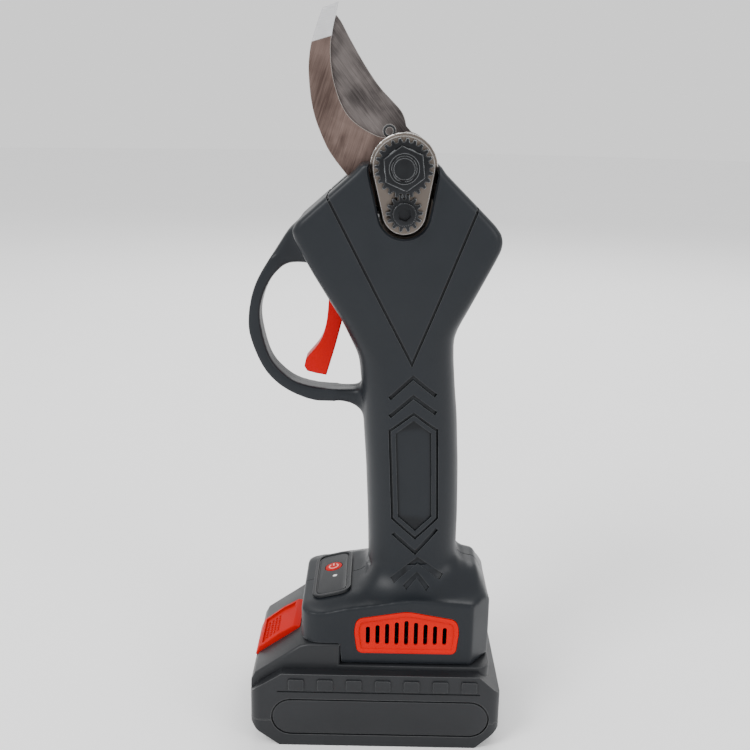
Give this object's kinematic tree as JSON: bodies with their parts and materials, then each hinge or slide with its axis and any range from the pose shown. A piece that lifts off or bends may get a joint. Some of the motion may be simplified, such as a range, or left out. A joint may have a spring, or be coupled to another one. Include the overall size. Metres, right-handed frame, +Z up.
{
  "type": "battery electric pruner",
  "caption": "Cordless pruning shears with a bypass blade head, ring-guarded trigger, ribbed grip and a slide-on battery pack that serves as the foot.",
  "frame": {"origin": "middle of the flat underside of the battery pack, on which the tool stands", "axes": "+Z up along the handle, +X to the back of the handle (the trigger is on -X), +Y to the right side; the blade nut is on -Y"},
  "size_m": [0.1178, 0.0772, 0.3291],
  "materials": {
    "housing_black": "soft matte moulded grain",
    "battery_black": "matte moulded grain",
    "panel_black": "smooth satin",
    "grille_red": "satin moulded",
    "button_red": "satin moulded",
    "trigger_red": "smooth satin",
    "power_red": "glossy",
    "lens": "clear",
    "blade_steel": "ground, brushed lengthwise",
    "bracket_metal": "satin, machined bevel",
    "black_oxide": "black oxide",
    "gear_steel": "machined",
    "screw_steel": "zinc plated",
    "bronze": "sintered",
    "motor_steel": "satin",
    "magnet": "nickel plated",
    "board_green": "lacquered",
    "part_black": "moulded",
    "contact_brass": "plated",
    "wire_red": "silicone sleeve",
    "cell_wrap": "shrink wrapped",
    "spring_steel": "drawn wire"
  },
  "bodies": {
    "housing": {"left_housing": "housing_black", "right_housing": "housing_black", "housing_screws": "screw_steel", "head_bracket": "bracket_metal", "fixed_blade": "blade_steel", "fixed_blade_screws": "black_oxide", "pivot_bolt": "black_oxide", "pivot_nut": "black_oxide", "lock_gear": "black_oxide", "lock_screw": "black_oxide", "pinion_bearings": "bronze", "carrier_bearing": "gear_steel", "ring_gear": "gear_steel", "gearbox_plate": "bracket_metal", "motor_can": "motor_steel", "motor_stator": "motor_steel", "motor_bearings": "gear_steel", "motor_end_cap": "part_black", "trigger_pin": "gear_steel", "trigger_spring": "spring_steel", "sensor_board": "board_green", "control_board": "board_green", "board_parts": "part_black", "internal_wires": "wire_red", "control_panel": "panel_black", "status_light": "lens", "panel_board": "board_green", "left_vent_grille": "grille_red", "right_vent_grille": "grille_red", "terminal_block": "part_black", "terminal_blades": "contact_brass"},
    "blade": {"moving_blade": "blade_steel", "pivot_bush": "bronze"},
    "pinion_shaft": {"bevel_wheel": "gear_steel", "blade_pinion": "gear_steel"},
    "carrier": {"planet_carrier": "gear_steel", "bevel_pinion": "gear_steel"},
    "planet_1": {"planet_gear_1": "gear_steel"},
    "planet_2": {"planet_gear_2": "gear_steel"},
    "planet_3": {"planet_gear_3": "gear_steel"},
    "rotor": {"motor_rotor": "magnet", "motor_shaft": "gear_steel", "sun_gear": "gear_steel"},
    "trigger": {"trigger": "trigger_red", "trigger_magnet": "magnet"},
    "power_button": {"power_button": "power_red"},
    "battery": {"battery_lower_shell": "battery_black", "battery_upper_shell": "battery_black", "battery_screws": "screw_steel", "battery_cells": "cell_wrap", "cell_holder": "part_black", "nickel_strips": "contact_brass", "battery_board": "board_green", "battery_contacts": "contact_brass", "latch_spring": "spring_steel"},
    "release": {"release_button": "button_red", "latch_hook": "part_black"}
  },
  "joints": [
    {"name": "motor_spin", "type": "hinge", "parent": "housing", "child": "rotor", "pos_m": [0.01151, 0, 0.23187], "axis": [0.0349, 0, -0.9994], "range_deg": [0, 1680]},
    {"name": "carrier_spin", "type": "hinge", "parent": "housing", "child": "carrier", "pos_m": [0.01151, 0, 0.23187], "axis": [0.0349, 0, -0.9994], "range_deg": [0, 336]},
    {"name": "pinion_spin", "type": "hinge", "parent": "housing", "child": "pinion_shaft", "pos_m": [0.01151, 0, 0.23187], "axis": [0, 1, 0], "range_deg": [-144, 0]},
    {"name": "blade_swing", "type": "hinge", "parent": "housing", "child": "blade", "pos_m": [0.0074, 0, 0.2631], "axis": [0, 1, 0], "range_deg": [0, 45]},
    {"name": "planet_spin_1", "type": "hinge", "parent": "carrier", "child": "planet_1", "pos_m": [0.02051, 0, 0.23218], "axis": [0.0349, 0, -0.9994], "range_deg": [-896, 0]},
    {"name": "planet_spin_2", "type": "hinge", "parent": "carrier", "child": "planet_2", "pos_m": [0.00701, 0.00779, 0.23171], "axis": [0.0349, 0, -0.9994], "range_deg": [-896, 0]},
    {"name": "planet_spin_3", "type": "hinge", "parent": "carrier", "child": "planet_3", "pos_m": [0.00701, -0.00779, 0.23171], "axis": [0.0349, 0, -0.9994], "range_deg": [-896, 0]},
    {"name": "trigger_pull", "type": "hinge", "parent": "housing", "child": "trigger", "pos_m": [-0.0132, 0, 0.2126], "axis": [0, -1, 0], "range_deg": [0, 14], "stiffness_Nm_per_rad": 0.12, "springref_deg": -6.88},
    {"name": "power_press", "type": "slide", "parent": "housing", "child": "power_button", "axis": [0.2419, 0, -0.9703], "range_m": [0, 0.0008], "stiffness_N_per_m": 1200, "springref_m": -0.0004},
    {"name": "battery_slide", "type": "slide", "parent": "housing", "child": "battery", "axis": [-1, 0, 0], "range_m": [0, 0.06]},
    {"name": "release_press", "type": "slide", "parent": "battery", "child": "release", "axis": [0.6, 0, -0.8], "range_m": [0, 0.0035], "stiffness_N_per_m": 700, "springref_m": -0.002, "deforming": ["latch_spring"]}
  ],
  "couplings": [
    {"joint": "carrier_spin", "follows": "motor_spin", "ratio": 0.2},
    {"joint": "pinion_spin", "follows": "motor_spin", "ratio": -0.085714},
    {"joint": "blade_swing", "follows": "motor_spin", "ratio": 0.026786},
    {"joint": "planet_spin_1", "follows": "motor_spin", "ratio": -0.53333},
    {"joint": "planet_spin_2", "follows": "motor_spin", "ratio": -0.53333},
    {"joint": "planet_spin_3", "follows": "motor_spin", "ratio": -0.53333}
  ]
}
